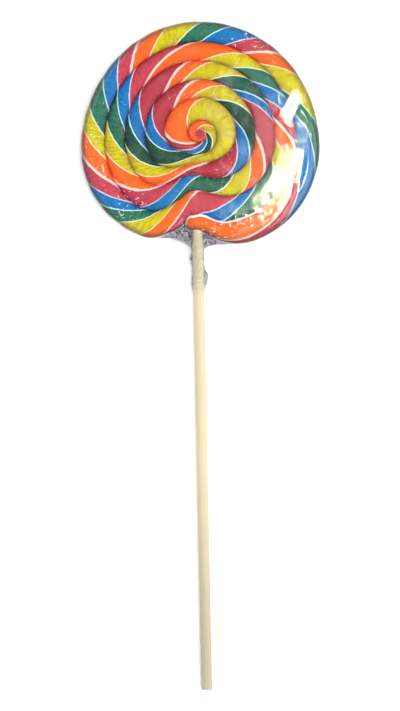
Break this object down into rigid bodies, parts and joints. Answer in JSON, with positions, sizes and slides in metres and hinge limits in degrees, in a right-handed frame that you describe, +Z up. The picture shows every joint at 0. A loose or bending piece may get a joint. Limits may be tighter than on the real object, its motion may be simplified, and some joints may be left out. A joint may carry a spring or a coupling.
{
  "type": "swirl lollipop",
  "caption": "Large round swirl lollipop: a coiled multicoloured candy rope on a wooden stick, in a clear wrapper, lying on its back.",
  "frame": {"origin": "on the wrapper's flat underside, below the middle of the coil", "axes": "+Z up out of the disc's shown face, -Y along the stick away from the disc, +X to the right of the shown face"},
  "size_m": [0.1724, 0.4819, 0.0125],
  "materials": {
    "hard_candy": "glossy boiled sugar, striped orange, red, blue, green and yellow with white lines",
    "wood": "bare pale dowel",
    "clear_film": "clear glossy film"
  },
  "bodies": {
    "root": {"candy": "hard_candy", "stick": "wood", "wrapper": "clear_film"}
  },
  "joints": []
}
